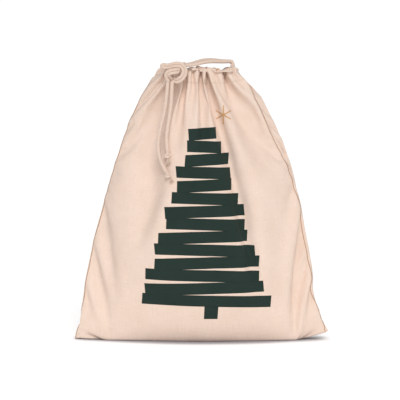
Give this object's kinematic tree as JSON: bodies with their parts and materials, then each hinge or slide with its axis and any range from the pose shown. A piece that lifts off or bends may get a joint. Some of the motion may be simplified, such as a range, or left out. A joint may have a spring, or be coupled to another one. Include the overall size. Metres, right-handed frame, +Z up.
{
  "type": "drawstring gift pouch",
  "caption": "Standing cotton drawstring gift pouch with a gathered mouth, a cord looped over it to a side knot with two hanging tails, and a printed tree and star on the front.",
  "frame": {"origin": "middle of the base, on the surface that the pouch stands on", "axes": "+Z up to the mouth, +X across the pouch towards the slit where the cord comes out, -Y towards the printed front"},
  "size_m": [0.394, 0.1291, 0.4425],
  "materials": {
    "canvas": "plain-weave cotton canvas, unbleached, matte",
    "thread": "spun cotton sewing thread",
    "dark_print": "matte textile ink on the weave",
    "gold_print": "dull gold textile ink on the weave",
    "cord": "soft braided cotton cord"
  },
  "bodies": {
    "pouch": {"front_panel": "canvas", "back_panel": "canvas", "left_seam_allowance": "canvas", "right_seam_allowance": "canvas", "bottom_seam_allowance": "canvas", "left_seam_stitches": "thread", "right_seam_stitches": "thread", "bottom_seam_stitches": "thread", "printed_tree": "dark_print", "printed_star": "gold_print"},
    "front_mouth": {"front_neck": "canvas", "front_hem": "canvas", "front_channel_stitches": "thread", "cord_front_run": "cord", "cord_exit_front": "cord", "cord_exit_back": "cord"},
    "back_mouth": {"back_neck": "canvas", "back_hem": "canvas", "back_channel_stitches": "thread", "cord_back_run": "cord"},
    "cord_loop": {"cord_loop_front": "cord", "cord_loop_back": "cord"},
    "knot": {"drawcord_knot": "cord"},
    "left_tail": {"tail_left": "cord", "tail_left_knot": "cord", "tail_left_tip": "cord"},
    "right_tail": {"tail_right": "cord", "tail_right_knot": "cord", "tail_right_tip": "cord"}
  },
  "joints": [
    {"name": "mouth_opening", "type": "slide", "parent": "pouch", "child": "front_mouth", "axis": [0, -1, 0], "range_m": [0, 0.015]},
    {"name": "back_opening", "type": "slide", "parent": "pouch", "child": "back_mouth", "axis": [0, 1, 0], "range_m": [0, 0.015]},
    {"name": "loop_lean", "type": "hinge", "parent": "front_mouth", "child": "cord_loop", "pos_m": [0.046, 0, 0.435], "axis": [-0.8806, -0.4713, -0.0496], "range_deg": [-30, 30]},
    {"name": "knot_lift", "type": "hinge", "parent": "front_mouth", "child": "knot", "pos_m": [-0.025, -0.038, 0.431], "axis": [-1, 0, 0], "range_deg": [0, 60]},
    {"name": "left_tail_lift", "type": "hinge", "parent": "knot", "child": "left_tail", "pos_m": [-0.0516, -0.041, 0.4068], "axis": [-1, 0, 0], "range_deg": [0, 90]},
    {"name": "right_tail_lift", "type": "hinge", "parent": "knot", "child": "right_tail", "pos_m": [-0.0456, -0.041, 0.4035], "axis": [-1, 0, 0], "range_deg": [0, 90]}
  ],
  "couplings": [
    {"joint": "back_opening", "follows": "mouth_opening", "ratio": 1}
  ]
}
